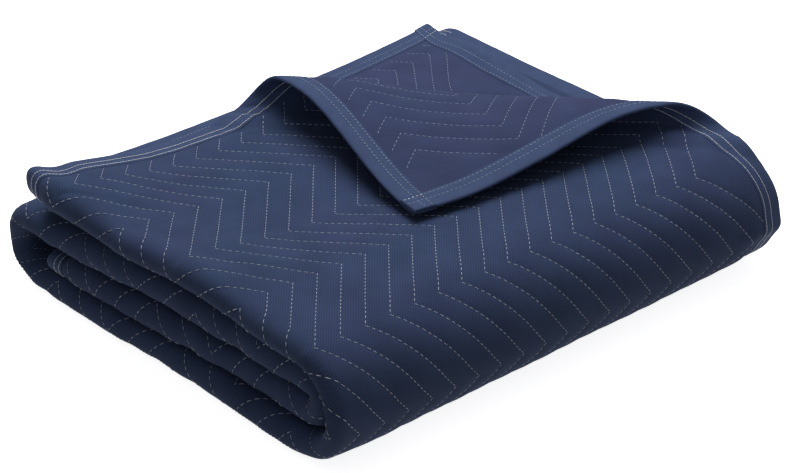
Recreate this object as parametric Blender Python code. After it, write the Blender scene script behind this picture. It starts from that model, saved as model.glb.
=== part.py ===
"""Quilted moving blanket, doubled lengthwise, rolled flat in four panels, one top corner turned back.

The cloth is drawn flat first: s runs along its length from the first end, t across its width from
the middle (the half with positive t ends up on the outside), n through it towards its face. Every
piece is made flat in s, t, n and then folded by the same function.

Folded, the blanket lies on z = 0 with its length rolled along x and its width along y. The doubled
edge faces -y. The panels, from the top down, are the top, the second, the third and the bottom one.
"""
import math
from collections import namedtuple

import bmesh
import bpy
from mathutils import Vector
from mathutils.geometry import delaunay_2d_cdt

MM = 0.001

# The cloth laid flat
LENGTH = 1829 * MM
WIDTH = 1104 * MM
PLAIN_HALF = 3.7 * MM         # half the thickness of the quilted cloth
PUFF_HALF = 4.3 * MM          # the same between two stitched rows
STITCHED_HALF = 2.0 * MM      # and on a stitched row
HEMMED_HALF = 1.5 * MM        # and inside the binding

# Zigzag quilting
HALF_WAVE = 81 * MM           # along the length, from one turn of a row to the next
ROW_PITCH = 26.5 * MM         # across the width, from one row to the next
ROW_REACH = 71.2 * MM         # across the width, between the two turns of one row
FIRST_TURN = 50.6 * MM        # s of the first turn
FIRST_ROW = 21.8 * MM         # t of a row at its first turn
LAST_ROW = 17                 # rows beyond this one aren't sewn, and leave a plain margin

# Binding: a folded tape around the raw edge
TAPE_WIDTH = 24 * MM
TAPE = 1.0 * MM
CLEARANCE = 0.7 * MM

# Rolled stack: the middle of the outer layer, with the inner layer inside it
LAYER_STEP = 16.2 * MM
TOP_Z = PLAIN_HALF + 7 * LAYER_STEP
SECOND_Z = PLAIN_HALF + 5 * LAYER_STEP
THIRD_Z = PLAIN_HALF + 2 * LAYER_STEP
FIRST_END_X = -174 * MM
FRONT_FOLD_X = 175 * MM
BACK_FOLD_X = -194 * MM
INNER_FOLD_X = 181 * MM
MIDDLE = Vector((-26.9 * MM, -1.2 * MM, 0))    # of the footprint, taken as the origin

# Doubled edge
NOSE_Y = -281 * MM
NOSE_WAVE = 2.2 * MM
SWELL_LENGTH = 77 * MM        # how far the swelling beside the doubled edge reaches
LAG_FROM = 18 * MM            # across from the doubled edge, where the cloth starts to lag
LAG_RUN = 90 * MM             # over this width, past the doubled edge, it falls back by
NOSE_LAG = 36 * MM
INNER_LAG = 40 * MM           # how much more the far edge of the inner layer lags
STRAY_FROM = 360 * MM         # across from the doubled edge, where the far edge starts to stray
NEAR_SPREAD = 13 * MM         # how far the back fold lies past its place, beside the doubled edge
FAR_SPREAD = 52 * MM          # and at the far edge
SAG = 0.11                    # how much flatter the near side's lower panels lie at the back fold
SAG_X = -30 * MM              # from here towards the back fold
SAG_LENGTH = 150 * MM
CORNER_LAG = 14 * MM          # how far the turned corner is drawn out beyond the first end
CORNER_LENGTH = 200 * MM
DIP = 5 * MM                  # a shallow trough across the top panel
DIP_S = 207 * MM
DIP_LENGTH = 50 * MM
EAR = 11 * MM                 # the doubled edge is drawn out at the first end, and rises there
EAR_RISE = 6 * MM
EAR_T = 8 * MM
EAR_WIDTH = 18 * MM
EAR_LENGTH = 80 * MM
LIFT = 11 * MM                # the inner layer's far edge curls up beside the turned corner
LIFT_FROM = 515 * MM
LIFT_S = 112 * MM
LIFT_LENGTH = 65 * MM

# Corner turned back over a crease
CREASE_START = Vector((-117 * MM, -26 * MM))
CREASE_END = Vector((148 * MM, 211 * MM))
CREST_RISE = 7.3 * MM         # the cloth rises to its crease
CREST_RUN = 19 * MM
ROLL_RADIUS = 13.9 * MM
OPEN_START = 6 * MM           # how much wider the roll opens at the first end, over a length of
OPEN_START_LENGTH = 88 * MM
OPEN_END = 1.3 * MM           # and at the side
OPEN_END_LENGTH = 69 * MM
ROLL_STEPS = 8
FLAP_REACH = 202 * MM         # from the crease to the tip of the corner
TIP_HEIGHT = 14.3 * MM        # the tip's middle over the layer it lies on
STEEPNESS = 2.3               # of the turned corner halfway down
SLANT_RUN = 60 * MM           # how far the hem is slanted with the crease, each way

CREASE = (CREASE_END - CREASE_START).normalized()
CREASE_LENGTH = (CREASE_END - CREASE_START).length
PAST_CREASE = Vector((-CREASE.y, CREASE.x))

# A run of the outer layer: straight, or a half circle where the radius isn't 0
Run = namedtuple("Run", "start length x z heading radius")


def plan_runs():
    """Runs of the outer layer from the first end to the last, each with its heading in the xz plane."""
    bottom_z = PLAIN_HALF
    front = (TOP_Z - bottom_z) / 2
    back = (SECOND_Z - bottom_z) / 2
    inner = (SECOND_Z - THIRD_Z) / 2
    legs = (
        # x to start from, z, length, radius of the fold that follows
        (FIRST_END_X, TOP_Z, FRONT_FOLD_X - FIRST_END_X, front),
        (FRONT_FOLD_X, bottom_z, FRONT_FOLD_X - BACK_FOLD_X, back),
        (BACK_FOLD_X, SECOND_Z, INNER_FOLD_X - BACK_FOLD_X, inner),
        (INNER_FOLD_X, THIRD_Z, LENGTH, 0.0),
    )
    runs = []
    start = 0.0
    heading = 0.0
    for x, z, length, radius in legs:
        runs.append(Run(start, length, x, z, heading, 0.0))
        start += length
        if radius:
            runs.append(Run(start, math.pi * radius, x + math.cos(heading) * length, z, heading, radius))
            start += math.pi * radius
        heading -= math.pi
    return runs


RUNS = plan_runs()
FRONT_FOLD, BOTTOM, BACK_FOLD, SECOND, INNER_FOLD, THIRD = RUNS[1:]


def end_of(run):
    return run.start + run.length


# How the doubled cloth lies at places along its length, in mm but for the shares:
# nose, the shift in y of the doubled edge, and hairpin, its shift in t; lag, the share of the lag
# that the folds leave; apart, from the outer layer to the inner one; out and inn, the swellings
# beside the doubled edge; edge and inner_edge, how far the two far edges stray; spread, the share
# of the back fold's spread
Station = namedtuple("Station", "s nose hairpin lag apart out inn edge inner_edge spread")
STATIONS = (
    Station(-40 * MM, -8, 5, 1.0, 12.0, 17, 0, -12, 6, 0),
    Station(FIRST_TURN, -22, -2, 1.0, 16.2, 18, -10, -10, 4, 0),
    Station(FIRST_TURN + HALF_WAVE, -21, 0, 1.0, 16.2, 9, -8, -13, -14, 0),
    Station(FIRST_TURN + 2 * HALF_WAVE, -14, 4, 1.0, 16.2, 15, -12, -19, -20, 0),
    Station(FRONT_FOLD.start, -14, 9, 1.0, 16.2, -3, 4, 0, -12, 0),
    Station(FRONT_FOLD.start + FRONT_FOLD.length / 2, -10, 12, 0.72, 9.8, 2, 2, 9, -8, 0),
    Station(BOTTOM.start, 0, 2, 0.43, 16.2, 0, 3, 0, 0, 0),
    Station(BACK_FOLD.start, 0, -23, 0.43, 16.2, 0, 3, 0, 0, 1),
    Station(SECOND.start, 0, -35, -0.13, 16.2, 3, 3, 0, 0, 1),
    Station(INNER_FOLD.start, 0, -8, -0.13, 16.2, 3, 3, 0, 0, 0),
    Station(INNER_FOLD.start + INNER_FOLD.length / 2, 0, -8, -0.37, 14.2, 3, 1, 0, 0, 0),
    Station(THIRD.start, 0, -8, -0.6, 16.2, 2, 2, 0, 0, 0),
    Station(LENGTH - 3 * TAPE_WIDTH, 0, -18, -0.6, 15.2, 2, 2, 0, 0, 0.5),
    Station(LENGTH, 0, -18, -0.6, 12.0, 0, 0, 0, 0, 0.5),
)


def ease(x):
    x = min(max(x, 0.0), 1.0)
    return x * x * (3 - 2 * x)


def station_at(s):
    """The station values at s, eased from one station to the next."""
    if s <= STATIONS[0].s:
        return STATIONS[0]
    for a, b in zip(STATIONS, STATIONS[1:]):
        if s <= b.s:
            f = ease((s - a.s) / (b.s - a.s))
            return Station(*(p + (q - p) * f for p, q in zip(a, b)))
    return STATIONS[-1]


def roll(path):
    """Point and outward normal in the xz plane of the outer layer, a distance along its runs."""
    run = RUNS[0]
    for candidate in RUNS:
        if path >= candidate.start:
            run = candidate
    ahead = Vector((math.cos(run.heading), math.sin(run.heading)))
    out = Vector((-ahead.y, ahead.x))
    origin = Vector((run.x, run.z))
    if not run.radius:
        return origin + ahead * (path - run.start), out
    centre = origin - out * run.radius
    angle = (path - run.start) / run.radius
    normal = out * math.cos(angle) + ahead * math.sin(angle)
    return centre + normal * run.radius, normal


def doubled(s, across, place):
    """y, and the depth inside the outer layer, a distance across from the doubled edge."""
    apart, out, inn = place.apart * MM, place.out * MM, place.inn * MM
    radius = (apart + out + inn) / 2
    centre = (apart + inn - out) / 2
    nose = NOSE_Y + place.nose * MM
    nose += NOSE_WAVE * math.sin(s / (47 * MM)) + NOSE_WAVE * math.sin(s / (113 * MM))
    side = 1 if across > 0 else -1
    around = abs(across)
    if around < radius * math.pi / 2:
        angle = around / radius
        return nose + radius * (1 - math.cos(angle)), centre - side * radius * math.sin(angle)
    beyond = around - radius * math.pi / 2
    fade = math.exp(-(beyond / SWELL_LENGTH) ** 2)
    if side > 0:
        return nose + radius + beyond, -out * fade
    return nose + radius + beyond, apart + inn * fade


def lag_at(across):
    beyond = max(-across, 0) / (WIDTH / 2)
    return NOSE_LAG * ease((LAG_FROM - across) / LAG_RUN) + INNER_LAG * beyond ** 3


def lie(s, t):
    """Where the middle of the cloth lies, folded, before the footprint is centred."""
    place = station_at(s)
    across = t - place.hairpin * MM
    ear = math.exp(-((across - EAR_T) / EAR_WIDTH) ** 2) * ease(1 - s / EAR_LENGTH)
    path = s - place.lag * lag_at(across) - EAR * ear
    y, depth = doubled(s, across, place)
    stray = place.edge if across > 0 else place.inner_edge
    y += stray * MM * ease((abs(across) - STRAY_FROM) / (WIDTH / 2 - STRAY_FROM))
    if across > 0:
        path -= CORNER_LAG * ease(1 - s / CORNER_LENGTH) * (2 * across / WIDTH) ** 3
    turned = -1.0
    if across > 0 and path < BOTTOM.start:
        flat = Vector((FIRST_END_X + path, y))
        turned = (flat - CREASE_START).dot(PAST_CREASE)
    if turned >= 0:
        return turn_back(flat, turned)
    point, normal = roll(path)
    if across > 0 and path < BOTTOM.start:
        depth -= CREST_RISE * ease(1 + turned / CREST_RUN)
    if path < BOTTOM.start:
        depth += DIP * math.exp(-((s - DIP_S) / DIP_LENGTH) ** 2) - EAR_RISE * ear
        curl = ease((-across - LIFT_FROM) / (WIDTH / 2 - LIFT_FROM))
        depth -= LIFT * curl * math.exp(-((s - LIFT_S) / LIFT_LENGTH) ** 2)
    point -= normal * depth
    if path < BOTTOM.start:
        return Vector((point.x, y, point.y))
    farness = (y - NOSE_Y) / (WIDTH / 2)
    spread = NEAR_SPREAD + (FAR_SPREAD - NEAR_SPREAD) * farness
    sag = SAG * (1 - farness) * ease((SAG_X - point.x) / SAG_LENGTH)
    z = PLAIN_HALF + (point.y - PLAIN_HALF) * (1 - sag)
    return Vector((point.x - place.spread * spread, y, z))


def roll_radius(flat):
    """The roll over the crease opens towards both of its ends."""
    along = (flat - CREASE_START).dot(CREASE)
    from_start = max(along, 0) / OPEN_START_LENGTH
    from_end = max(CREASE_LENGTH - along, 0) / OPEN_END_LENGTH
    return ROLL_RADIUS + OPEN_START * math.exp(-from_start ** 2) + OPEN_END * math.exp(-from_end ** 2)


def turn_back(flat, turned):
    """The corner past the crease: around a loose roll, then back down to rest on its tip."""
    radius = roll_radius(flat)
    foot = flat - PAST_CREASE * turned
    if turned < math.pi * radius:
        angle = turned / radius
        foot += PAST_CREASE * radius * math.sin(angle)
        height = CREST_RISE + radius * (1 - math.cos(angle))
    else:
        back = turned - math.pi * radius
        foot -= PAST_CREASE * back
        highest = CREST_RISE + 2 * radius
        share = back / FLAP_REACH
        height = highest - (highest - TIP_HEIGHT) * (share + STEEPNESS * (ease(share) - share))
    return Vector((foot.x, foot.y, TOP_Z + height))


def fold(s, t, n):
    """Where a point of the flat cloth lies, folded."""
    step = 0.4 * MM
    along = lie(s + step, t) - lie(s - step, t)
    across = lie(s, t + step) - lie(s, t - step)
    return lie(s, t) - MIDDLE + along.cross(across).normalized() * n


def zigzag(s):
    """t of a quilting row at s, from its t at the first turn."""
    phase = ((s - FIRST_TURN) / HALF_WAVE) % 2
    return ROW_REACH * min(phase, 2 - phase)


SEAM_T = WIDTH / 2 - TAPE_WIDTH
SEAM_S = (TAPE_WIDTH, LENGTH - TAPE_WIDTH)
QUILTED_S = FIRST_TURN + 5.5 * HALF_WAVE      # raised rows end where the cloth meets the floor
QUILTED_T = 45 * MM


def half_thickness(s, t):
    edge = min(s - SEAM_S[0], SEAM_S[1] - s, SEAM_T - abs(t))
    if edge < 0.5 * MM:
        return HEMMED_HALF
    if s < QUILTED_S - 1 * MM and t > QUILTED_T + 1 * MM:
        row = (t - FIRST_ROW - zigzag(s)) / ROW_PITCH
        share = row % 1 if row < LAST_ROW else min(row - LAST_ROW, 0.5)
        return STITCHED_HALF + (PUFF_HALF - STITCHED_HALF) * math.sin(math.pi * share)
    return PLAIN_HALF


def cross_lines():
    """Values of s where the cloth is bent: two to a half wave, more in the folds."""
    finer = ((FRONT_FOLD, 4), (BACK_FOLD, 6), (INNER_FOLD, 6))
    values = [SEAM_S[0]]
    s = FIRST_TURN
    while s < SEAM_S[1] - 8 * MM:
        values.append(s)
        step = 2
        for run, parts in finer:
            if run.start - 12 * MM < s < end_of(run):
                step = parts
        s += HALF_WAVE / step
    values.append(SEAM_S[1])
    return values


class Plan:
    """Points and lines on the flat cloth, which are joined into triangles."""

    def __init__(self):
        self.points = []
        self.lines = []

    def line(self, points):
        first = len(self.points)
        self.points.extend(Vector(p) for p in points)
        self.lines.extend((i, i + 1) for i in range(first, len(self.points) - 1))

    def clipped_line(self, points, low, high):
        """A line kept only where its t is between low and high."""
        for a, b in zip(points, points[1:]):
            a, b = Vector(a), Vector(b)
            if min(a.y, b.y) >= high or max(a.y, b.y) <= low:
                continue
            ends = []
            for p, q in ((a, b), (b, a)):
                limit = min(max(p.y, low), high)
                share = (limit - p.y) / (q.y - p.y)
                ends.append((p.x + (q.x - p.x) * share, limit if share else p.y))
            self.line(ends)

    def triangles(self):
        result = delaunay_2d_cdt(self.points, self.lines, [], 0, 0.15 * MM)
        return result[0], result[2]


def draw_panel():
    """The panel inside its seams: bends along and across, quilting rows, and the bends of the corner."""
    plan = Plan()
    columns = cross_lines()
    for s in columns:
        plan.line(((s, -SEAM_T), (s, SEAM_T)))
    plan.line([(s, -SEAM_T) for s in columns])
    plan.line([(s, SEAM_T) for s in columns])
    for across in (-40, -26, -17, -10, -5, 0, 5, 10, 17, 26):
        plan.line([(s, (station_at(s).hairpin + across) * MM) for s in columns])
    quilted = [s for s in columns if s <= QUILTED_S]
    plain = [s for s in columns if s >= quilted[-1]]
    plan.line([(s, QUILTED_T) for s in quilted])
    for k in range(6):
        inner = [station_at(s).hairpin * MM - 40 * MM for s in columns]
        plan.line([(s, t + (-SEAM_T - t) * k / 6) for s, t in zip(columns, inner)])
        outer = [station_at(s).hairpin * MM + 45 * MM for s in plain]
        plan.line([(s, t + (SEAM_T - t) * k / 6) for s, t in zip(plain, outer)])
    for k in range(-3, 2 * LAST_ROW + 2):
        row = [(s, FIRST_ROW + k * ROW_PITCH / 2 + zigzag(s)) for s in quilted]
        plan.clipped_line(row, QUILTED_T, SEAM_T)
    draw_crease(plan)
    return plan.triangles()


def draw_crease(plan):
    """Lines beside the crease: up the rise, and around the roll."""
    bends = [-CREST_RUN * k / 4 for k in (4, 3, 2, 1)]
    around = math.pi * (ROLL_RADIUS + OPEN_START)
    bends += [around * k / ROLL_STEPS for k in range(ROLL_STEPS + 1)]
    for past in bends:
        middle = (CREASE_START + CREASE_END) / 2 + PAST_CREASE * past
        s, t = middle.x - FIRST_END_X, middle.y - doubled_flat_y()
        slope = CREASE.y / CREASE.x
        first = (SEAM_S[0], t + slope * (SEAM_S[0] - s))
        last = (s + (SEAM_T - t) / slope, SEAM_T)
        if last[0] > QUILTED_S:
            last = (QUILTED_S, t + slope * (QUILTED_S - s))
        plan.line((first, last))


def doubled_flat_y():
    """y of t = 0 as it would be without the doubled edge's bend, on the top panel."""
    place = station_at(FIRST_TURN + HALF_WAVE)
    y, _ = doubled(FIRST_TURN + HALF_WAVE, WIDTH / 4, place)
    return y - WIDTH / 4


def seam_samples(points):
    """The panel's seam corners and points, sorted along each of its four seams."""
    tiny = 0.01 * MM
    return {
        "first": sorted(p.y for p in points if abs(p.x - SEAM_S[0]) < tiny),
        "last": sorted(p.y for p in points if abs(p.x - SEAM_S[1]) < tiny),
        "outer": sorted(p.x for p in points if abs(p.y - SEAM_T) < tiny),
        "inner": sorted(p.x for p in points if abs(p.y + SEAM_T) < tiny),
    }


def past_seam(seam, sample, past):
    """s and t a distance past a seam, slanted with the crease where the crease crosses the seam."""
    slope = CREASE.y / CREASE.x
    start = (CREASE_START.x - FIRST_END_X, CREASE_START.y - doubled_flat_y())
    if seam == "first":
        crossing = start[1] - slope * start[0]
        slant = ease(2 - abs(sample - crossing) / SLANT_RUN)
        return SEAM_S[0] - past, sample - past * slope * slant
    if seam == "last":
        return SEAM_S[1] + past, sample
    if seam == "inner":
        return sample, -SEAM_T - past
    crossing = start[0] + (SEAM_T - start[1]) / slope
    slant = ease(2 - abs(sample - crossing) / SLANT_RUN)
    return sample + past / slope * slant, SEAM_T + past


def make_object(name, bm, material):
    bmesh.ops.recalc_face_normals(bm, faces=bm.faces)
    mesh = bpy.data.meshes.new(name)
    bm.to_mesh(mesh)
    bm.free()
    mesh.materials.append(material)
    thing = bpy.data.objects.new(name, mesh)
    bpy.context.scene.collection.objects.link(thing)
    return thing


def cloth_material(name, colour, roughness):
    material = bpy.data.materials.new(name)
    material.use_nodes = True
    shader = material.node_tree.nodes["Principled BSDF"]
    shader.inputs["Base Color"].default_value = (*colour, 1.0)
    shader.inputs["Roughness"].default_value = roughness
    shader.inputs["Metallic"].default_value = 0.0
    return material


def build_panel(points, faces, material):
    """Face and back, the hemmed margin that the binding covers, and the raw edge."""
    bm = bmesh.new()
    sides = {}
    for side in (1, -1):
        made = [bm.verts.new(fold(p.x, p.y, side * half_thickness(p.x, p.y))) for p in points]
        for face in faces:
            bm.faces.new([made[i] for i in (face if side > 0 else reversed(face))])
        sides[side] = made
    ring = boundary_ring(points, faces)
    raw = []
    for i in ring:
        spots = hem_spots(points[i])
        raw.append([[bm.verts.new(fold(*spot, side * HEMMED_HALF)) for spot in spots] for side in (1, -1)])
    for k, i in enumerate(ring):
        m = (k + 1) % len(ring)
        for side, from_spots, to_spots in zip((1, -1), raw[k], raw[m]):
            bm.faces.new((sides[side][i], sides[side][ring[m]], to_spots[0], from_spots[-1]))
            if len(from_spots) > 1:
                bm.faces.new([sides[side][i]] + from_spots[::-1])
        upper = raw[k][0] + raw[m][0][:1]
        lower = raw[k][1] + raw[m][1][:1]
        for a, b, c, d in zip(upper, upper[1:], lower[1:], lower):
            bm.faces.new((a, b, c, d))
    bmesh.ops.triangulate(bm, faces=[f for f in bm.faces if len(f.verts) > 3])
    return make_object("quilted_panel", bm, material)


def hem_spots(p):
    """Where the raw edge is beside a point of the seam: one spot, or three around a corner."""
    tiny = 0.01 * MM
    hem = TAPE_WIDTH - TAPE - CLEARANCE
    end = "first" if abs(p.x - SEAM_S[0]) < tiny else "last" if abs(p.x - SEAM_S[1]) < tiny else None
    side = "outer" if abs(p.y - SEAM_T) < tiny else "inner" if abs(p.y + SEAM_T) < tiny else None
    if not side:
        return [past_seam(end, p.y, hem)]
    beside = past_seam(side, p.x, hem)
    if not end:
        return [beside]
    beyond = past_seam(end, p.y, hem)
    spots = [beside, (beyond[0], beside[1]), beyond]
    # the ring runs round the panel with s growing along the inner side
    return spots if (end == "last") == (side == "inner") else spots[::-1]


def boundary_ring(points, faces):
    """Indices of the points around the seams, in order."""
    following = {}
    edges = set()
    for face in faces:
        for a, b in zip(face, face[1:] + face[:1]):
            edges.add((a, b))
    for a, b in edges:
        if (b, a) not in edges:
            following[a] = b
    start = min(following)
    ring = [start]
    while following[ring[-1]] != start:
        ring.append(following[ring[-1]])
    return ring


def build_binding(name, seam, samples, material):
    """A U of tape swept along a seam, around the hem."""
    inner = HEMMED_HALF + CLEARANCE
    outer = inner + TAPE
    back = TAPE_WIDTH - TAPE
    section = (
        (0.0, outer),
        (TAPE_WIDTH, outer),
        (TAPE_WIDTH, -outer),
        (0.0, -outer),
        (0.0, -inner),
        (back, -inner),
        (back, inner),
        (0.0, inner),
    )
    bm = bmesh.new()
    rings = []
    for sample in samples:
        ring = []
        for past, n in section:
            s, t = past_seam(seam, sample, past)
            ring.append(bm.verts.new(fold(s, t, n)))
        rings.append(ring)
    count = len(section)
    for a, b in zip(rings, rings[1:]):
        for k in range(count):
            m = (k + 1) % count
            bm.faces.new((a[k], a[m], b[m], b[k]))
    for ring in (rings[0], rings[-1]):
        # the U's end: its two lips and its back
        bm.faces.new([ring[k] for k in (0, 1, 6, 7)])
        bm.faces.new([ring[k] for k in (1, 2, 5, 6)])
        bm.faces.new([ring[k] for k in (2, 3, 4, 5)])
    bmesh.ops.triangulate(bm, faces=bm.faces)
    return make_object(name, bm, material)


def build_bindings(seams, material):
    """The end bindings cover the corners, and the side bindings butt between them."""
    for seam in ("first", "last"):
        samples = [-WIDTH / 2] + seams[seam] + [WIDTH / 2]
        build_binding(seam + "_end_binding", seam, samples, material)
    for seam in ("outer", "inner"):
        samples = [SEAM_S[0] + CLEARANCE] + seams[seam][1:-1] + [SEAM_S[1] - CLEARANCE]
        build_binding(seam + "_side_binding", seam, samples, material)


for old in list(bpy.data.objects):
    bpy.data.objects.remove(old, do_unlink=True)
panel_points, panel_faces = draw_panel()
navy = cloth_material("navy quilted cloth", (0.035, 0.05, 0.11), 0.85)
tape_blue = cloth_material("navy binding tape", (0.045, 0.075, 0.15), 0.8)
build_panel(panel_points, panel_faces, navy)
build_bindings(seam_samples(panel_points), tape_blue)
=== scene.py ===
import math
from collections import namedtuple

import bmesh
import bpy
import numpy as np
from mathutils import Matrix, Vector, noise


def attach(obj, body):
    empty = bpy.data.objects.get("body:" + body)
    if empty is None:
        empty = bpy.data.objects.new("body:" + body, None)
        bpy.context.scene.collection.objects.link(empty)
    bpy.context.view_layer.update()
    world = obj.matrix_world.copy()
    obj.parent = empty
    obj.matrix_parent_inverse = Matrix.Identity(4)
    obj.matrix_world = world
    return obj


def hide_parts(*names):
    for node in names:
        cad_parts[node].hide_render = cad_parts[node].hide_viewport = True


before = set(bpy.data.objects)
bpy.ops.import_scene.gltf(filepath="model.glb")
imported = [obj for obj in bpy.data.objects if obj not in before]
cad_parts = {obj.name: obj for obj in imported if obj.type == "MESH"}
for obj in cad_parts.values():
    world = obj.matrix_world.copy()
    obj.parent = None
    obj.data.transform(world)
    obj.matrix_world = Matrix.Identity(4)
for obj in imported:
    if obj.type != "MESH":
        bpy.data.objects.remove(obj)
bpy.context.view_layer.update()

# Quilted panel: two layers of navy cloth with thin batting between them, sewn together in zigzag rows.
# It is drawn flat, s along its length, t across its width, n through it towards its face, and then
# folded: doubled along its length, rolled flat in four panels, and one top corner turned back.
MM = 0.001
LENGTH = 1829 * MM
WIDTH = 1104 * MM
HALF_WAVE = 81 * MM           # along the length, from one turn of a quilting row to the next
ROW_PITCH = 26.5 * MM
ROW_REACH = 71.2 * MM         # across the width, between the two turns of one row
FIRST_TURN = 50.6 * MM
FIRST_ROW = 21.8 * MM
FIRST_SEWN, LAST_SEWN = -21, 17       # rows beyond these aren't sewn, and leave plain margins
HALF_THICKNESS = 3.7 * MM
LAYER_STEP = 16.2 * MM
TOP_Z = HALF_THICKNESS + 7 * LAYER_STEP
SECOND_Z = HALF_THICKNESS + 5 * LAYER_STEP
THIRD_Z = HALF_THICKNESS + 2 * LAYER_STEP
FIRST_END_X = -174 * MM
FRONT_FOLD_X = 175 * MM
BACK_FOLD_X = -194 * MM
INNER_FOLD_X = 181 * MM
MIDDLE = (-26.9 * MM, -1.2 * MM, 0)

Run = namedtuple("Run", "start length x z heading radius")


def plan_runs():
    """Straight runs and half-circle folds of the outer layer, from the first end to the last."""
    legs = (
        # x to start from, z, length, radius of the fold that follows
        (FIRST_END_X, TOP_Z, FRONT_FOLD_X - FIRST_END_X, (TOP_Z - HALF_THICKNESS) / 2),
        (FRONT_FOLD_X, HALF_THICKNESS, FRONT_FOLD_X - BACK_FOLD_X, (SECOND_Z - HALF_THICKNESS) / 2),
        (BACK_FOLD_X, SECOND_Z, INNER_FOLD_X - BACK_FOLD_X, (SECOND_Z - THIRD_Z) / 2),
        (INNER_FOLD_X, THIRD_Z, LENGTH, 0.0),
    )
    runs = []
    start = 0.0
    heading = 0.0
    for x, z, length, radius in legs:
        runs.append(Run(start, length, x, z, heading, 0.0))
        start += length
        if radius:
            far_x = x + math.cos(heading) * length
            runs.append(Run(start, math.pi * radius, far_x, z, heading, radius))
            start += math.pi * radius
        heading -= math.pi
    return runs


RUNS = plan_runs()
FRONT_FOLD, BOTTOM, BACK_FOLD, SECOND, INNER_FOLD, THIRD = RUNS[1:]

# How the doubled cloth lies along its length, in mm but for the shares: nose, the shift in y of the
# doubled edge; hairpin, its shift in t; lag, how far it lags; apart, between its two layers; out and
# inn, the swellings beside the doubled edge; edge and inner_edge, the strays of the two far edges;
# spread, at the back
Station = namedtuple("Station", "s nose hairpin lag apart out inn edge inner_edge spread")
STATIONS = (
    Station(-40 * MM, -8, 5, 1.0, 12.0, 17, 0, -12, 6, 0),
    Station(FIRST_TURN, -22, -2, 1.0, 16.2, 18, -10, -10, 4, 0),
    Station(FIRST_TURN + HALF_WAVE, -21, 0, 1.0, 16.2, 9, -8, -13, -14, 0),
    Station(FIRST_TURN + 2 * HALF_WAVE, -14, 4, 1.0, 16.2, 15, -12, -19, -20, 0),
    Station(FRONT_FOLD.start, -14, 9, 1.0, 16.2, -3, 4, 0, -12, 0),
    Station(FRONT_FOLD.start + FRONT_FOLD.length / 2, -10, 12, 0.72, 9.8, 2, 2, 9, -8, 0),
    Station(BOTTOM.start, 0, 2, 0.43, 16.2, 0, 3, 0, 0, 0),
    Station(BACK_FOLD.start, 0, -23, 0.43, 16.2, 0, 3, 0, 0, 1),
    Station(SECOND.start, 0, -35, -0.13, 16.2, 3, 3, 0, 0, 1),
    Station(INNER_FOLD.start, 0, -8, -0.13, 16.2, 3, 3, 0, 0, 0),
    Station(INNER_FOLD.start + INNER_FOLD.length / 2, 0, -8, -0.37, 14.2, 3, 1, 0, 0, 0),
    Station(THIRD.start, 0, -8, -0.6, 16.2, 2, 2, 0, 0, 0),
    Station(LENGTH - 72 * MM, 0, -18, -0.6, 15.2, 2, 2, 0, 0, 0.5),
    Station(LENGTH, 0, -18, -0.6, 12.0, 0, 0, 0, 0, 0.5),
)

NOSE_Y = -281 * MM
NOSE_WAVE = 2.2 * MM
SWELL_LENGTH = 77 * MM
LAG_FROM = 18 * MM
LAG_RUN = 90 * MM
NOSE_LAG = 36 * MM
INNER_LAG = 40 * MM
STRAY_FROM = 360 * MM
NEAR_SPREAD = 13 * MM
FAR_SPREAD = 52 * MM
SAG = 0.11
SAG_X = -30 * MM
SAG_LENGTH = 150 * MM
CORNER_LAG = 14 * MM
CORNER_LENGTH = 200 * MM
DIP = 5 * MM
DIP_S = 207 * MM
DIP_LENGTH = 50 * MM
EAR = 11 * MM                 # the doubled edge is drawn out and up at the first end
EAR_RISE = 6 * MM
EAR_T = 8 * MM
EAR_WIDTH = 18 * MM
EAR_LENGTH = 80 * MM
LIFT = 11 * MM                # the far edge of the inner layer curls up beside the turned corner
LIFT_FROM = 515 * MM
LIFT_S = 112 * MM
LIFT_LENGTH = 65 * MM
CREASE_START = np.array((-117, -26)) * MM
CREASE_END = np.array((148, 211)) * MM
CREST_RISE = 7.3 * MM
CREST_RUN = 19 * MM
ROLL_RADIUS = 13.9 * MM
OPEN_START = 6 * MM
OPEN_START_LENGTH = 88 * MM
OPEN_END = 1.3 * MM
OPEN_END_LENGTH = 69 * MM
FLAP_REACH = 202 * MM
TIP_HEIGHT = 14.3 * MM
STEEPNESS = 2.3
CREASE_LENGTH = np.linalg.norm(CREASE_END - CREASE_START)
CREASE = (CREASE_END - CREASE_START) / CREASE_LENGTH
PAST_CREASE = np.array((-CREASE[1], CREASE[0]))


def ease(x):
    x = np.clip(x, 0.0, 1.0)
    return x * x * (3 - 2 * x)


def stations_at(s):
    """The station values at each s, eased from one station to the next."""
    table = np.array(STATIONS)
    row = np.clip(np.searchsorted(table[:, 0], s) - 1, 0, len(table) - 2)
    share = ease((s - table[row, 0]) / (table[row + 1, 0] - table[row, 0]))[:, None]
    return Station(*(table[row] + (table[row + 1] - table[row]) * share).T)


def roll(path):
    """x, z and the outward normal of the outer layer, a distance along its runs."""
    x, z, out_x, out_z = (np.zeros_like(path) for _ in range(4))
    for run in RUNS:
        here = path >= run.start if run.start else np.ones_like(path, dtype=bool)
        past = path[here] - run.start
        ahead = np.array((math.cos(run.heading), math.sin(run.heading)))
        out = np.array((-ahead[1], ahead[0]))
        if run.radius:
            angle = past / run.radius
            normal = np.outer(np.cos(angle), out) + np.outer(np.sin(angle), ahead)
            place = np.array((run.x, run.z)) - out * run.radius + normal * run.radius
        else:
            normal = np.outer(np.ones_like(past), out)
            place = np.array((run.x, run.z)) + np.outer(past, ahead)
        x[here], z[here] = place.T
        out_x[here], out_z[here] = normal.T
    return x, z, out_x, out_z


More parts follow.
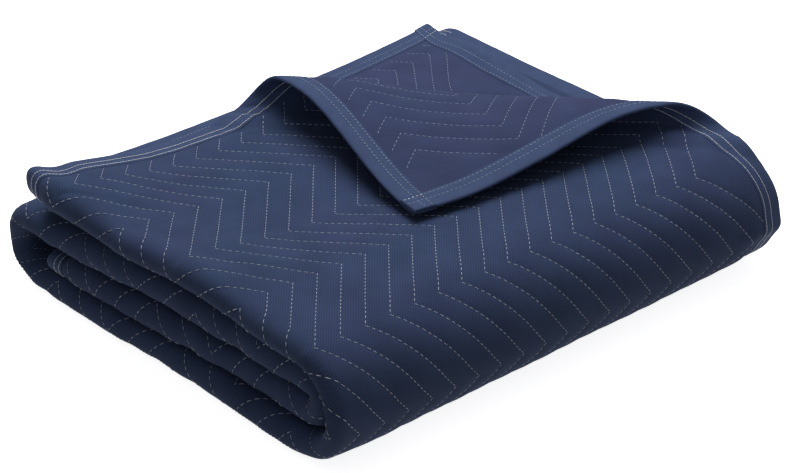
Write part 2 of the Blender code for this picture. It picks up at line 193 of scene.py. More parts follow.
def doubled(s, across, place):
    """y, and the depth inside the outer layer, a distance across from the doubled edge."""
    apart, out, inn = place.apart * MM, place.out * MM, place.inn * MM
    radius = (apart + out + inn) / 2
    centre = (apart + inn - out) / 2
    nose = NOSE_Y + place.nose * MM + NOSE_WAVE * (np.sin(s / (47 * MM)) + np.sin(s / (113 * MM)))
    side = np.where(across > 0, 1, -1)
    angle = np.minimum(abs(across) / radius, math.pi / 2)
    beyond = np.maximum(abs(across) - radius * math.pi / 2, 0.0)
    fade = np.exp(-(beyond / SWELL_LENGTH) ** 2)
    bent = centre - side * radius * np.sin(angle)
    straight = np.where(side > 0, -out * fade, apart + inn * fade)
    return nose + radius * (1 - np.cos(angle)) + beyond, np.where(beyond > 0, straight, bent)


def lie(s, t):
    """Where the middle of the cloth lies, folded."""
    place = stations_at(s)
    across = t - place.hairpin * MM
    near_lag = NOSE_LAG * ease((LAG_FROM - across) / LAG_RUN)
    far_lag = INNER_LAG * (np.maximum(-across, 0) / (WIDTH / 2)) ** 3
    path = s - place.lag * (near_lag + far_lag)
    path -= CORNER_LAG * ease(1 - s / CORNER_LENGTH) * (2 * np.maximum(across, 0) / WIDTH) ** 3
    ear = np.exp(-((across - EAR_T) / EAR_WIDTH) ** 2) * ease(1 - s / EAR_LENGTH)
    path -= EAR * ear
    y, depth = doubled(s, across, place)
    stray = np.where(across > 0, place.edge, place.inner_edge) * MM
    y += stray * ease((abs(across) - STRAY_FROM) / (WIDTH / 2 - STRAY_FROM))
    top = (across > 0) & (path < BOTTOM.start)
    flat = np.stack((FIRST_END_X + path, y), axis=1)
    turned = np.where(top, (flat - CREASE_START) @ PAST_CREASE, -1.0)
    x, z, out_x, out_z = roll(path)
    depth = depth - np.where(top, CREST_RISE * ease(1 + turned / CREST_RUN), 0.0)
    inside = path >= BOTTOM.start
    depth = depth + np.where(inside, 0.0, DIP * np.exp(-((s - DIP_S) / DIP_LENGTH) ** 2) - EAR_RISE * ear)
    curl = ease((-across - LIFT_FROM) / (WIDTH / 2 - LIFT_FROM))
    depth -= np.where(inside, 0.0, LIFT * curl * np.exp(-((s - LIFT_S) / LIFT_LENGTH) ** 2))
    x -= out_x * depth
    z -= out_z * depth
    farness = (y - NOSE_Y) / (WIDTH / 2)
    sag = SAG * (1 - farness) * ease((SAG_X - x) / SAG_LENGTH)
    spread = place.spread * (NEAR_SPREAD + (FAR_SPREAD - NEAR_SPREAD) * farness)
    z = np.where(inside, HALF_THICKNESS + (z - HALF_THICKNESS) * (1 - sag), z)
    x = np.where(inside, x - spread, x)
    plain = np.stack((x, y, z), axis=1)
    return np.where((turned >= 0)[:, None], turn_back(flat, turned), plain) - MIDDLE


def roll_radius(flat):
    """The roll over the crease opens towards both of its ends."""
    along = (flat - CREASE_START) @ CREASE
    from_start = np.maximum(along, 0) / OPEN_START_LENGTH
    from_end = np.maximum(CREASE_LENGTH - along, 0) / OPEN_END_LENGTH
    return ROLL_RADIUS + OPEN_START * np.exp(-from_start ** 2) + OPEN_END * np.exp(-from_end ** 2)


def turn_back(flat, turned):
    """The corner past the crease: around a loose roll, then back down to rest on its tip."""
    radius = roll_radius(flat)
    angle = np.clip(turned / radius, 0, math.pi)
    back = np.maximum(turned - math.pi * radius, 0.0)
    shift = radius * np.sin(angle) - back - turned
    highest = CREST_RISE + 2 * radius
    height = CREST_RISE + radius * (1 - np.cos(angle))
    share = back / FLAP_REACH
    height -= (highest - TIP_HEIGHT) * (share + STEEPNESS * (ease(share) - share))
    foot = flat + shift[:, None] * PAST_CREASE
    return np.column_stack((foot, TOP_Z + height))


def fold(s, t, n):
    """Where points of the flat cloth lie, folded."""
    step = 0.4 * MM
    along = lie(s + step, t) - lie(s - step, t)
    across = lie(s, t + step) - lie(s, t - step)
    normal = np.cross(along, across)
    normal /= np.linalg.norm(normal, axis=1)[:, None]
    return lie(s, t) + normal * n[:, None]


def zigzag(s):
    """t of a quilting row at s, from its t at the first turn."""
    phase = ((s - FIRST_TURN) / HALF_WAVE) % 2
    return ROW_REACH * np.minimum(phase, 2 - phase)


TAPE_WIDTH = 24 * MM
SEAM_T = WIDTH / 2 - TAPE_WIDTH
SEAM_S = (TAPE_WIDTH, LENGTH - TAPE_WIDTH)
STITCHED_HALF = 3.1 * MM      # half the thickness on a stitched row
PUFF_HALF = 4.1 * MM          # and between two rows
HEMMED_HALF = 1.4 * MM        # and inside the binding
PUFF_ROUNDNESS = 0.55         # the lower, the squarer the swelling between two rows
PRESSED_UNDER = 4 * MM        # the panel starts to swell this far inside the binding
SEAM_EASE = 20 * MM           # and is full this far on
NOSE_FADE = 45 * MM           # the batting is pulled even this far around the doubled edge
NOSE_EVENNESS = 0.85
UNEVEN = 0.8 * MM
WIDE_WAVE = 70 * MM
FINE_WAVE = 19 * MM
FINE_SHARE = 0.35
PUCKER = 1.7 * MM             # the doubled edge is drawn up a little inside the roll
PUCKER_SIZE = (26 * MM, 60 * MM)
PUCKER_FADE = 70 * MM
PRESSED = 0.08                # what is left of a bulge under the surface that it rests on

# Creases and soft waves set into the cloth: middle, direction in degrees, length, width and depth in mm
Crease = namedtuple("Crease", "s t turn length width depth")
CREASES = (
    Crease(62, 13, 35, 34, 3.5, 2.2),
    Crease(95, 37, 30, 60, 11, 1.2),
    Crease(150, 25, 20, 70, 12, 1.4),
    Crease(235, 42, 12, 80, 14, 1.5),
    Crease(290, 17, -8, 60, 12, 1.3),
    Crease(12, 18, 90, 52, 60, 4),
    Crease(12, 232, 45, 30, 6, 1.3),
    Crease(12, 244, 45, 34, 6, 1.5),
    Crease(12, 255, 50, 30, 6, 1.4),
    Crease(28, 222, 80, 40, 6, 1.6),
    Crease(40, 262, 60, 44, 6, 1.8),
    Crease(60, 279, 50, 50, 8, 1.6),
    Crease(330, 497, 15, 50, 7, 1.5),
    Crease(300, 517, 35, 40, 6, 1.5),
    Crease(405, 545, 90, 90, 44, 0.5),
    Crease(447, 545, 90, 90, 20, -4),
    Crease(487, 14, 0, 90, 70, 3),
)


def half_thickness(s, t):
    row = (t - FIRST_ROW - zigzag(s)) / ROW_PITCH
    margin = np.maximum(row - LAST_SEWN, FIRST_SEWN - row)
    share = np.where(margin > 0, np.minimum(margin, 0.5), row % 1)
    quilted = STITCHED_HALF + (PUFF_HALF - STITCHED_HALF) * np.sin(math.pi * share) ** PUFF_ROUNDNESS
    evenness = NOSE_EVENNESS * np.exp(-(t / NOSE_FADE) ** 2)
    quilted += evenness * (HALF_THICKNESS - quilted)
    from_seam = np.minimum.reduce((s - SEAM_S[0], SEAM_S[1] - s, SEAM_T - abs(t)))
    return HEMMED_HALF + (quilted - HEMMED_HALF) * ease((from_seam + PRESSED_UNDER) / SEAM_EASE)


def waves(x, y, layer):
    """Smooth noise at each place, about one wave to a unit."""
    return np.array([noise.noise(Vector((a, b, layer))) for a, b in zip(x, y)])


def unevenness(s, t):
    """How far the batting and the fold push the cloth up or down, the same on its face and back."""
    wide = waves(s / WIDE_WAVE, t / WIDE_WAVE, 0)
    fine = waves(s / FINE_WAVE, t / FINE_WAVE, 0)
    folds = waves(s / PUCKER_SIZE[0], t / PUCKER_SIZE[1], 3)
    drawn_up = np.exp(-(t / PUCKER_FADE) ** 2) * ease((s - FRONT_FOLD.start) / BOTTOM.start)
    pushed = UNEVEN * (wide + FINE_SHARE * fine) + PUCKER * folds * drawn_up
    for crease in CREASES:
        turn = math.radians(crease.turn)
        ahead = (s - crease.s * MM) * math.cos(turn) + (t - crease.t * MM) * math.sin(turn)
        aside = (t - crease.t * MM) * math.cos(turn) - (s - crease.s * MM) * math.sin(turn)
        run = np.exp(-(2 * ahead / (crease.length * MM)) ** 4)
        pushed -= crease.depth * MM * run * np.exp(-(2 * aside / (crease.width * MM)) ** 2)
    return pushed


def set_places(mesh, s, t, places):
    """Keeps the flat place of each point as the cloth's own map, and moves the points to where they lie,
    pressed flat against the surface that they rest on."""
    corners = np.empty(len(mesh.loops), dtype=np.int32)
    mesh.loops.foreach_get("vertex_index", corners)
    layer = mesh.uv_layers.new(name="cloth")
    layer.uv.foreach_set("vector", np.column_stack((s, t))[corners].astype(np.float32).ravel())
    places[:, 2] = np.where(places[:, 2] < 0, PRESSED * places[:, 2], places[:, 2])
    mesh.vertices.foreach_set("co", places.astype(np.float32).ravel())
    mesh.shade_smooth()
    mesh.update()


def flat_points(mesh):
    points = np.empty(len(mesh.vertices) * 3, dtype=np.float32)
    mesh.vertices.foreach_get("co", points)
    return points.reshape(-1, 3).astype(float).T


def finished(name, bm, material):
    mesh = bpy.data.meshes.new(name)
    bm.to_mesh(mesh)
    bm.free()
    mesh.materials.append(material)
    piece = bpy.data.objects.new(name, mesh)
    bpy.context.scene.collection.objects.link(piece)
    return piece


def divide(bm, wanted, along_length, cuts):
    """Cuts the edges that run along or across the length, where they are wanted."""
    edges = []
    for edge in bm.edges:
        a, b = (v.co for v in edge.verts)
        lengthwise = abs(a.x - b.x) > 0.1 * MM
        middle = (a + b) / 2
        if lengthwise == along_length and wanted(middle.x, middle.y):
            edges.append(edge)
    bmesh.ops.subdivide_edges(bm, edges=edges, cuts=cuts)


SHOWN_END = 530 * MM          # past the front fold
SHOWN_FROM = -25 * MM         # a little round the doubled edge
INNER_SHOWN_END = 345 * MM
INNER_SHOWN_T = 185 * MM
INNER_SHOWN_SLOPE = 0.8


def inner_corner_shown(s, t):
    """The inner layer's far corner, which the turned corner uncovers."""
    return s < INNER_SHOWN_END and t < -INNER_SHOWN_T - INNER_SHOWN_SLOPE * s


def shown(s, t):
    """The top panel, the front fold and the inner layer's corner."""
    return s < SHOWN_END and (t > SHOWN_FROM or inner_corner_shown(s, t))


def beside_doubled_edge(s, t):
    return -75 * MM < t < 55 * MM


def in_back_fold(s, t):
    return BACK_FOLD.start - 20 * MM < s < BACK_FOLD.start + BACK_FOLD.length


# The panel's mesh before it is divided: columns across its length and rows along its quilting
COLUMNS = 134
COLUMNS_PER_TURN = 6
COLUMNS_BEFORE_TURN = 3
ROWS = 90
ROWS_PER_PITCH = 2
ROWS_BEFORE_FIRST = 50
HEM = 3 * MM                  # the panel's raw edge stops this short of the binding's fold


def lay_out_panel():
    """The flat panel, its mesh sheared so that its lines follow the quilting rows."""
    bm = bmesh.new()
    bmesh.ops.create_grid(bm, x_segments=COLUMNS, y_segments=ROWS, size=0.5)
    for v in bm.verts:
        column = (v.co.x + 0.5) * COLUMNS - COLUMNS_BEFORE_TURN
        row = (v.co.y + 0.5) * ROWS - ROWS_BEFORE_FIRST
        s = FIRST_TURN + column * HALF_WAVE / COLUMNS_PER_TURN
        v.co = (s, FIRST_ROW + row * ROW_PITCH / ROWS_PER_PITCH + zigzag(s), 0)
    divide(bm, lambda s, t: shown(s, t) or beside_doubled_edge(s, t), False, 3)
    divide(bm, lambda s, t: shown(s, t) or in_back_fold(s, t) or beside_doubled_edge(s, t), True, 2)
    trims = (
        ((HEM, 0, 0), (-1, 0, 0)),
        ((LENGTH - HEM, 0, 0), (1, 0, 0)),
        ((0, HEM - WIDTH / 2, 0), (0, -1, 0)),
        ((0, WIDTH / 2 - HEM, 0), (0, 1, 0)),
    )
    for point, outwards in trims:
        everything = bm.verts[:] + bm.edges[:] + bm.faces[:]
        bmesh.ops.bisect_plane(
            bm, geom=everything, dist=0.01 * MM, plane_co=point, plane_no=outwards, clear_outer=True)
    bend_lines(bm)
    bmesh.ops.solidify(bm, geom=bm.faces[:], thickness=1 * MM)
    bmesh.ops.recalc_face_normals(bm, faces=bm.faces[:])
    return bm


def on_flat_cloth(x, y):
    """s and t of a place on the top panel."""
    beside = np.array([FIRST_TURN + HALF_WAVE])
    lies_at, _ = doubled(beside, np.array([WIDTH / 4]), stations_at(beside))
    return x - FIRST_END_X, y - (lies_at[0] - WIDTH / 4)


BENDS = 8                     # around the crease's roll
TURNED_END = 420 * MM         # the turned corner's reach on the flat cloth
TURNED_FROM = 180 * MM


def bend_lines(bm):
    """Edges along the crease, around its roll."""
    outwards = (PAST_CREASE[0], PAST_CREASE[1], 0)
    for part in range(BENDS + 1):
        past = math.pi * (ROLL_RADIUS + OPEN_START) * part / BENDS
        point = (*on_flat_cloth(*(CREASE_START + PAST_CREASE * past)), 0)
        near = [f for f in bm.faces if f.calc_center_median().x < TURNED_END
                and f.calc_center_median().y > TURNED_FROM]
        edges = {e for f in near for e in f.edges}
        verts = {v for f in near for v in f.verts}
        bmesh.ops.bisect_plane(
            bm, geom=near + list(edges) + list(verts), dist=0.01 * MM,
            plane_co=point, plane_no=outwards)


def cloth_material(name, face_colour, back_colour):
    """Fine twill, a little uneven in its dye, soft and without gloss."""
    material = bpy.data.materials.new(name)
    material.use_nodes = True
    nodes, links = material.node_tree.nodes, material.node_tree.links
    shader = nodes["Principled BSDF"]
    shader.inputs["Roughness"].default_value = 0.9
    shader.inputs["Specular IOR Level"].default_value = 0.08
    shader.inputs["Sheen Weight"].default_value = 0.03
    shader.inputs["Sheen Roughness"].default_value = 0.5
    shader.inputs["Sheen Tint"].default_value = (0.55, 0.65, 0.95, 1)
    place = nodes.new("ShaderNodeUVMap")
    place.uv_map = "cloth"
    side = nodes.new("ShaderNodeAttribute")
    side.attribute_name = "face_side"
    colour = nodes.new("ShaderNodeMix")
    colour.data_type = "RGBA"
    colour.inputs["A"].default_value = (*back_colour, 1)
    colour.inputs["B"].default_value = (*face_colour, 1)
    links.new(side.outputs["Fac"], colour.inputs["Factor"])

    blotches = nodes.new("ShaderNodeTexNoise")
    blotches.inputs["Scale"].default_value = 28
    blotches.inputs["Detail"].default_value = 4
    links.new(place.outputs["UV"], blotches.inputs["Vector"])
    spread = nodes.new("ShaderNodeMapRange")
    spread.inputs["From Min"].default_value = 0.3
    spread.inputs["From Max"].default_value = 0.7
    spread.inputs["To Min"].default_value = 0.9
    spread.inputs["To Max"].default_value = 1.1
    links.new(blotches.outputs["Fac"], spread.inputs["Value"])

    turned = nodes.new("ShaderNodeMapping")
    turned.inputs["Rotation"].default_value = (0, 0, math.radians(-48))
    links.new(place.outputs["UV"], turned.inputs["Vector"])
    twill = nodes.new("ShaderNodeTexWave")
    twill.wave_type = "BANDS"
    twill.bands_direction = "X"
    twill.inputs["Scale"].default_value = 0.314 / (2.1 * MM)
    twill.inputs["Distortion"].default_value = 0.6
    twill.inputs["Detail"].default_value = 1
    links.new(turned.outputs["Vector"], twill.inputs["Vector"])
    ribs = nodes.new("ShaderNodeMapRange")
    ribs.inputs["To Min"].default_value = 0.86
    ribs.inputs["To Max"].default_value = 1.14
    links.new(twill.outputs["Fac"], ribs.inputs["Value"])

    shade = nodes.new("ShaderNodeMath")
    shade.operation = "MULTIPLY"
    links.new(spread.outputs["Result"], shade.inputs[0])
    links.new(ribs.outputs["Result"], shade.inputs[1])
    tinted = nodes.new("ShaderNodeVectorMath")
    tinted.operation = "SCALE"
    links.new(colour.outputs["Result"], tinted.inputs[0])
    links.new(shade.outputs["Value"], tinted.inputs["Scale"])
    patches = nodes.new("ShaderNodeTexNoise")
    patches.inputs["Scale"].default_value = 9
    patches.inputs["Detail"].default_value = 2
    links.new(place.outputs["UV"], patches.inputs["Vector"])
    dyed = nodes.new("ShaderNodeValToRGB")
    dyed.color_ramp.elements[0].position = 0.38
    dyed.color_ramp.elements[0].color = (0.95, 1.01, 0.99, 1)
    dyed.color_ramp.elements[1].position = 0.62
    dyed.color_ramp.elements[1].color = (1.05, 0.99, 1.01, 1)
    links.new(patches.outputs["Fac"], dyed.inputs["Fac"])
    finished_dye = nodes.new("ShaderNodeVectorMath")
    finished_dye.operation = "MULTIPLY"
    links.new(tinted.outputs["Vector"], finished_dye.inputs[0])
    links.new(dyed.outputs["Color"], finished_dye.inputs[1])
    links.new(finished_dye.outputs["Vector"], shader.inputs["Base Color"])

    crumple = nodes.new("ShaderNodeTexNoise")
    crumple.inputs["Scale"].default_value = 90
    crumple.inputs["Detail"].default_value = 3
    links.new(place.outputs["UV"], crumple.inputs["Vector"])
    soft = nodes.new("ShaderNodeBump")
    soft.inputs["Strength"].default_value = 0.35
    soft.inputs["Distance"].default_value = 0.8 * MM
    links.new(crumple.outputs["Fac"], soft.inputs["Height"])
    weave = nodes.new("ShaderNodeBump")
    weave.inputs["Strength"].default_value = 0.5
    weave.inputs["Distance"].default_value = 0.15 * MM
    links.new(twill.outputs["Fac"], weave.inputs["Height"])
    links.new(soft.outputs["Normal"], weave.inputs["Normal"])
    links.new(weave.outputs["Normal"], shader.inputs["Normal"])
    return material


def make_panel():
    material = cloth_material("navy quilted cloth", (0.0275, 0.0415, 0.091), (0.0305, 0.040, 0.091))
    panel = finished("quilted_cloth", lay_out_panel(), material)
    s, t, z = flat_points(panel.data)
    side = np.where(z > (z.min() + z.max()) / 2, 1.0, -1.0)
    places = fold(s, t, side * half_thickness(s, t) + unevenness(s, t))
    set_places(panel.data, s, t, places)
    layer = panel.data.attributes.new("face_side", "FLOAT", "POINT")
    layer.data.foreach_set("value", (side * 0.5 + 0.5).astype(np.float32))
    return panel


panel = make_panel()
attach(panel, "root")
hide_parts("quilted_panel")

# Binding: navy woven tape folded in half around the raw edges and sewn through, one length to a side.
# The side tapes lie over the end tapes at the corners.
SLANT_RUN = 60 * MM
OVERLAP = 0.4 * MM
# half of the tape's section, in mm: past the seam, and up from the cloth's middle
TAPE_INSIDE = ((0.3, 1.6), (21.8, 1.4), (22.6, 0.0))
TAPE_OUTSIDE = ((-0.3, 1.8), (-0.2, 2.1), (0.4, 2.25), (2.5, 2.1), (6.5, 2.4), (10.5, 2.05), (14.0, 2.3),
                (18.0, 2.2), (21.8, 1.95), (23.3, 1.3), (23.9, 0.0))


def tape_section():
    """The tape's whole outline, in metres: along its outside, round the fold, and back along its inside."""
    outside = TAPE_OUTSIDE + tuple((past, -up) for past, up in TAPE_OUTSIDE[-2::-1])
    inside = tuple((past, -up) for past, up in TAPE_INSIDE) + TAPE_INSIDE[-2::-1]
    return np.array(outside + inside) * MM


def past_seam(seam, sample, past):
    """s and t a distance past a seam, slanted with the crease where the crease crosses the seam."""
    slope = CREASE[1] / CREASE[0]
    start_s, start_t = on_flat_cloth(*CREASE_START)
    if seam == "first":
        crossing = start_t - slope * start_s
        slant = ease(2 - abs(sample - crossing) / SLANT_RUN)
        return SEAM_S[0] - past, sample - past * slope * slant
    if seam == "last":
        return SEAM_S[1] + past, sample
    if seam == "inner":
        return sample, -SEAM_T - past
    crossing = start_s + (SEAM_T - start_t) / slope
    slant = ease(2 - abs(sample - crossing) / SLANT_RUN)
    return sample + past / slope * slant, SEAM_T + past


def tape_material():
    """Plain-woven tape, a little paler and smoother than the panel, with fine ribs across it."""
    material = bpy.data.materials.new("navy binding tape")
    material.use_nodes = True
    nodes, links = material.node_tree.nodes, material.node_tree.links
    shader = nodes["Principled BSDF"]
    shader.inputs["Roughness"].default_value = 0.8
    shader.inputs["Specular IOR Level"].default_value = 0.12
    shader.inputs["Sheen Weight"].default_value = 0.04
    shader.inputs["Sheen Roughness"].default_value = 0.4
    shader.inputs["Sheen Tint"].default_value = (0.6, 0.7, 0.95, 1)
    place = nodes.new("ShaderNodeUVMap")
    place.uv_map = "cloth"
    weave = nodes.new("ShaderNodeTexChecker")
    weave.inputs["Scale"].default_value = 1 / (0.9 * MM)
    weave.inputs["Color1"].default_value = (0.037, 0.057, 0.124, 1)
    weave.inputs["Color2"].default_value = (0.031, 0.048, 0.106, 1)
    links.new(place.outputs["UV"], weave.inputs["Vector"])
    dye = nodes.new("ShaderNodeTexNoise")
    dye.inputs["Scale"].default_value = 60
    dye.inputs["Detail"].default_value = 3
    links.new(place.outputs["UV"], dye.inputs["Vector"])
    shade = nodes.new("ShaderNodeMapRange")
    shade.inputs["To Min"].default_value = 0.8
    shade.inputs["To Max"].default_value = 1.2
    links.new(dye.outputs["Fac"], shade.inputs["Value"])
    tinted = nodes.new("ShaderNodeVectorMath")
    tinted.operation = "SCALE"
    links.new(weave.outputs["Color"], tinted.inputs[0])
    links.new(shade.outputs["Result"], tinted.inputs["Scale"])
    links.new(tinted.outputs["Vector"], shader.inputs["Base Color"])
    cockle = nodes.new("ShaderNodeTexNoise")
    cockle.inputs["Scale"].default_value = 220
    cockle.inputs["Detail"].default_value = 2
    links.new(place.outputs["UV"], cockle.inputs["Vector"])
    bump = nodes.new("ShaderNodeBump")
    bump.inputs["Strength"].default_value = 0.5
    bump.inputs["Distance"].default_value = 0.6 * MM
    links.new(cockle.outputs["Fac"], bump.inputs["Height"])
    links.new(bump.outputs["Normal"], shader.inputs["Normal"])
    return material


def over_corner(sample):
    """1 over an end tape, falling to 0 beside it."""
    return ease((SEAM_S[0] + 4 * MM - np.minimum(sample, LENGTH - sample)) / (5 * MM))


def make_tape(name, seam, first, last, material):
    """A tube of the tape's section along a seam, with a ring every 3 mm."""
    section = tape_section()
    count = len(section)
    bm = bmesh.new()
    bmesh.ops.create_cone(bm, cap_ends=True, segments=count, radius1=1, radius2=1, depth=1)
    lengthwise = [e for e in bm.edges if abs(e.verts[0].co.z - e.verts[1].co.z) > 0.5]
    bmesh.ops.subdivide_edges(bm, edges=lengthwise, cuts=round((last - first) / (3 * MM)))
    tape = finished(name, bm, material)
    x, y, along = flat_points(tape.data)
    corner = np.round(np.arctan2(-x, y) / (2 * math.pi / count)).astype(int) % count
    past, up = section[corner].T
    sample = first + (along + 0.5) * (last - first)
    cockled = [noise.noise(Vector((p / (16 * MM), q / (6 * MM), 0))) for p, q in zip(sample, past)]
    up = up * (1 + 0.10 * np.array(cockled) * np.clip(past / (4 * MM), 0, 1))
    if seam in ("outer", "inner"):
        up = up + np.sign(up) * OVERLAP * over_corner(sample)
    s, t = past_seam(seam, sample, past)
    set_places(tape.data, s, t, fold(s, t, up + unevenness(s, t)))
    return tape


tape_cloth = tape_material()
ENDS = (-WIDTH / 2, WIDTH / 2)
SIDES = (0.5 * MM, LENGTH - 0.5 * MM)
for seam, stretch, node in (
    ("first", ENDS, "first_end_binding"),
    ("last", ENDS, "last_end_binding"),
    ("outer", SIDES, "outer_side_binding"),
    ("inner", SIDES, "inner_side_binding"),
):
    tape = make_tape(seam + "_tape", seam, *stretch, tape_cloth)
    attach(tape, "root")
    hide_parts(node)

# Quilting thread: pale grey thread in lockstitch, one stitch every 5.7 mm along each zigzag row. Each
# stitch is a small bead of thread that dips into the cloth at both ends, on the face and on the back.
STITCHES_PER_LEG = 19
STITCH_STEP = HALF_WAVE / STITCHES_PER_LEG
QUILT_STITCH = (2.9 * MM, 0.65 * MM, 0.55 * MM)     # along, across and through
END_GAP = 4 * MM              # the rows stop this far from the end seams, and from the side seams
SIDE_GAP = 2 * MM
FACE_SHOWN_FROM = -95 * MM
SECOND_EDGE_T = 400 * MM      # the second panel's far edge shows past this
BACK_SHOWN_T = 225 * MM
BACK_REACH = 360 * MM


def repeat(bm, count, step):
    """Copies everything in bm until there are count of it, each one step on from the one before."""
    unit = len(bm.verts)
    made = 1
    while made < count:
        more = min(made, count - made)
        verts = bm.verts[:][:more * unit]
        edges = {e for v in verts for e in v.link_edges}
        faces = {f for v in verts for f in v.link_faces}
        copied = bmesh.ops.duplicate(bm, geom=verts + list(edges) + list(faces))
        fresh = [part for part in copied["geom"] if isinstance(part, bmesh.types.BMVert)]
        bmesh.ops.translate(bm, verts=fresh, vec=Vector(step) * made)
        made += more


def one_stitch(size):
    bm = bmesh.new()
    bmesh.ops.create_uvsphere(bm, u_segments=4, v_segments=4, radius=0.5)
    bmesh.ops.rotate(bm, verts=bm.verts, matrix=Matrix.Rotation(math.pi / 2, 3, "Y"))
    bmesh.ops.scale(bm, verts=bm.verts, vec=size)
    return bm, len(bm.verts)


def keep_stitches(bm, unit, wanted):
    verts = bm.verts[:]
    unwanted = []
    for first in range(0, len(verts), unit):
        stitch = verts[first:first + unit]
        middle = sum((v.co for v in stitch), Vector()) / unit
        if not wanted(middle.x, middle.y):
            unwanted.extend(stitch)
    bmesh.ops.delete(bm, geom=unwanted, context="VERTS")


def thread_material(name, colour):
    """Spun thread: matt, paler on the turns of its plies."""
    material = bpy.data.materials.new(name)
    material.use_nodes = True
    nodes, links = material.node_tree.nodes, material.node_tree.links
    shader = nodes["Principled BSDF"]
    shader.inputs["Roughness"].default_value = 0.6
    shader.inputs["Sheen Weight"].default_value = 0.3
    place = nodes.new("ShaderNodeUVMap")
    place.uv_map = "cloth"
    plies = nodes.new("ShaderNodeTexNoise")
    plies.inputs["Scale"].default_value = 900
    links.new(place.outputs["UV"], plies.inputs["Vector"])
    shade = nodes.new("ShaderNodeMapRange")
    shade.inputs["To Min"].default_value = 0.75
    shade.inputs["To Max"].default_value = 1.25
    links.new(plies.outputs["Fac"], shade.inputs["Value"])
    tinted = nodes.new("ShaderNodeVectorMath")
    tinted.operation = "SCALE"
    tinted.inputs[0].default_value = colour
    links.new(shade.outputs["Result"], tinted.inputs["Scale"])
    links.new(tinted.outputs["Vector"], shader.inputs["Base Color"])
    return material


def inside_seams(s, t):
    return SEAM_S[0] + END_GAP < s < SEAM_S[1] - END_GAP and abs(t) < SEAM_T - SIDE_GAP


def sewn(s, t):
    """Inside the seams, and on a row between the first and the last."""
    row = round((t - FIRST_ROW - zigzag(s)) / ROW_PITCH)
    return inside_seams(s, t) and FIRST_SEWN <= row <= LAST_SEWN


def shown_on_face(s, t):
    second_far_edge = s < INNER_FOLD.start and t > SECOND_EDGE_T
    outer_layer = t > FACE_SHOWN_FROM and s < SECOND.start
    return sewn(s, t) and (outer_layer or beside_doubled_edge(s, t) or second_far_edge)


def shown_on_back(s, t):
    turned_corner = s < INNER_SHOWN_END and t > BACK_SHOWN_T + INNER_SHOWN_SLOPE * s
    return sewn(s, t) and (turned_corner or inner_corner_shown(s, t))


def quilt_thread(name, side, wanted, reach, material):
    """Every stitch of one side of the cloth, up to a distance from the first end."""
    bm, unit = one_stitch(QUILT_STITCH)
    across = math.ceil((WIDTH + ROW_REACH) / ROW_PITCH)
    repeat(bm, round(reach / STITCH_STEP), (STITCH_STEP, 0, 0))
    repeat(bm, across, (0, ROW_PITCH, 0))
    first_row = FIRST_ROW - ROW_PITCH * math.floor((WIDTH / 2 + ROW_REACH) / ROW_PITCH)
    shift = 0.25 if side > 0 else 0.75      # the bobbin's stitches lie half a step on
    start = FIRST_TURN - (math.floor(FIRST_TURN / STITCH_STEP) - shift) * STITCH_STEP
    for v in bm.verts:
        v.co.x += start
        v.co.y += first_row + zigzag(v.co.x)
    keep_stitches(bm, unit, wanted)
    thread = finished(name, bm, material)
    s, t, up = flat_points(thread.data)
    height = side * (half_thickness(s, t) + 0.1 * MM) + unevenness(s, t)
    set_places(thread.data, s, t, fold(s, t, height + side * up))
    if side < 0:
        thread.data.flip_normals()
    return thread


face_thread = thread_material("pale grey quilting thread", (0.40, 0.44, 0.52))
back_thread = thread_material("grey blue bobbin thread", (0.26, 0.33, 0.46))
threads = [
    quilt_thread("face_quilting", 1, shown_on_face, LENGTH, face_thread),
    quilt_thread("back_quilting", -1, shown_on_back, BACK_REACH, back_thread),
]
for thread in threads:
    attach(thread, "root")

# Binding stitches: two rows of lockstitch through each tape, close to its inner edge, tight and pale on
# the face, and grey blue and further apart on the back, but for one pale row where a seam locks over a
# corner.
SEAM_ROWS = (2.5 * MM, 10.5 * MM)
SEAM_START = 4 * MM           # from the corner to the first stitch
SEAM_SPARE = 6 * MM           # left without stitches at a seam's two ends together
SEAM_STITCHES = {
    # side of the cloth: step, then the stitch along, across and through
    1: (3.1 * MM, (3.3 * MM, 0.6 * MM, 0.6 * MM)),
    -1: (4.4 * MM, (2.8 * MM, 0.7 * MM, 0.6 * MM)),
}


def off_second_panel(along, _):
    """The outer tape shows no rows where it lies behind the inner layer, on the second panel."""
    return not SECOND.start < along + SEAM_START < INNER_FOLD.start


def locked(seam, s, t, past):
    """The seam's first row where it crosses the next side's tape."""
    beyond = {"first": -SEAM_T - t, "last": t - SEAM_T, "outer": SEAM_S[0] - s, "inner": s - SEAM_S[1]}
    return (beyond[seam] > 0) & (past < sum(SEAM_ROWS) / 2)


def lock_corner(thread, pale):
    """Sews the stitches that lock a corner in the pale thread."""
    thread.data.materials.append(seam_face)
    for face in thread.data.polygons:
        face.material_index = int(pale[face.vertices[0]])


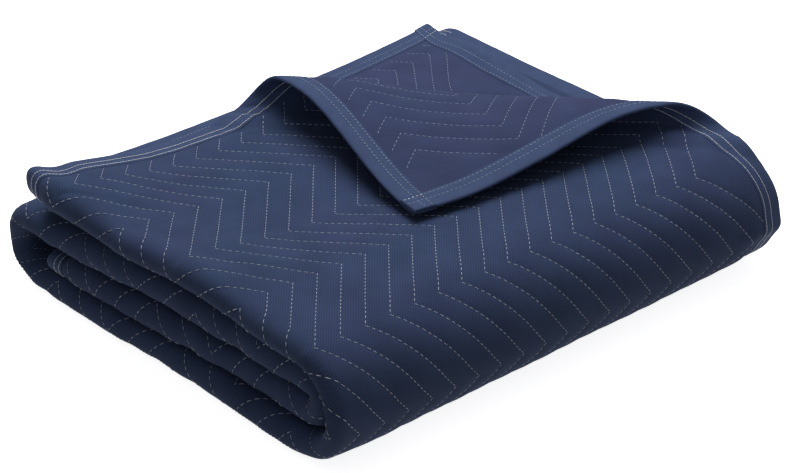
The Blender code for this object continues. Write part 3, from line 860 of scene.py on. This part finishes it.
def seam_thread(name, side, material):
    """The stitches of all four seams on one side of the cloth."""
    step, size = SEAM_STITCHES[side]
    parts = []
    for seam, length in (("first", WIDTH), ("last", WIDTH), ("outer", LENGTH), ("inner", LENGTH)):
        bm, unit = one_stitch(size)
        repeat(bm, int((length - SEAM_SPARE) / step), (step, 0, 0))
        repeat(bm, 2, (0, SEAM_ROWS[1] - SEAM_ROWS[0], 0))
        start = SEAM_START - (WIDTH / 2 if seam in ("first", "last") else 0)
        if seam == "outer" and side > 0:
            keep_stitches(bm, unit, off_second_panel)
        thread = finished(f"{name}_{seam}", bm, material)
        sample, past, up = flat_points(thread.data)
        sample += start
        past += SEAM_ROWS[0]
        s, t = past_seam(seam, sample, past)
        on_tape = np.interp(past, *np.array(TAPE_OUTSIDE).T * MM) + 0.15 * MM
        on_tape += OVERLAP * over_corner(sample if seam in ("outer", "inner") else s * 0)
        height = side * (on_tape + up) + unevenness(s, t)
        set_places(thread.data, s, t, fold(s, t, height))
        if (side < 0) != (seam in ("first", "inner")):
            thread.data.flip_normals()
        if side < 0:
            lock_corner(thread, locked(seam, s, t, past))
        parts.append(thread)
    return parts


seam_face = thread_material("pale binding thread", (0.74, 0.77, 0.82))
for thread in seam_thread("seam_face", 1, seam_face) + seam_thread("seam_back", -1, back_thread):
    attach(thread, "root")
    threads.append(thread)

# Pale floor, soft light from a wide overhead panel, and the camera
floor_bm = bmesh.new()
bmesh.ops.create_circle(floor_bm, cap_ends=True, segments=96, radius=30)
floor_paint = bpy.data.materials.new("pale floor")
floor_paint.use_nodes = True
floor_shader = floor_paint.node_tree.nodes["Principled BSDF"]
floor_shader.inputs["Base Color"].default_value = (0.9, 0.9, 0.9, 1)
floor_shader.inputs["Roughness"].default_value = 0.9
floor_shader.inputs["Emission Color"].default_value = (1, 1, 1, 1)
floor_shader.inputs["Emission Strength"].default_value = 0.85
floor = finished("floor", floor_bm, floor_paint)
floor.location.z = -0.2 * MM
floor.visible_diffuse = False

bpy.context.scene.view_settings.view_transform = "Standard"
world = bpy.data.worlds.new("studio")
bpy.context.scene.world = world
world.use_nodes = True
world.node_tree.nodes["Background"].inputs["Color"].default_value = (1, 1, 1, 1)
world.node_tree.nodes["Background"].inputs["Strength"].default_value = 0.33


def soft_light(name, place, aim, size, power):
    light = bpy.data.lights.new(name, "AREA")
    light.shape = "DISK"
    light.size = size
    light.energy = power
    lamp = bpy.data.objects.new(name, light)
    lamp.location = place
    lamp.rotation_euler = (Vector(aim) - Vector(place)).to_track_quat("-Z", "Y").to_euler()
    bpy.context.scene.collection.objects.link(lamp)


soft_light("overhead", (-0.42, 0.4, 1.9), (-0.05, 0, 0.1), 1.6, 47)

VIEW_TURN = math.radians(47.597)
VIEW_TILT = math.radians(27.349)
camera_data = bpy.data.cameras.new("camera")
camera_data.sensor_width = 36
camera_data.lens = 100.7
camera = bpy.data.objects.new("camera", camera_data)
camera.location = (1.3918, -1.2568, 0.9959)
forward = Vector((
    -math.sin(VIEW_TURN) * math.cos(VIEW_TILT),
    math.cos(VIEW_TURN) * math.cos(VIEW_TILT),
    -math.sin(VIEW_TILT),
))
camera.rotation_euler = forward.to_track_quat("-Z", "Y").to_euler()
bpy.context.scene.collection.objects.link(camera)
bpy.context.scene.camera = camera
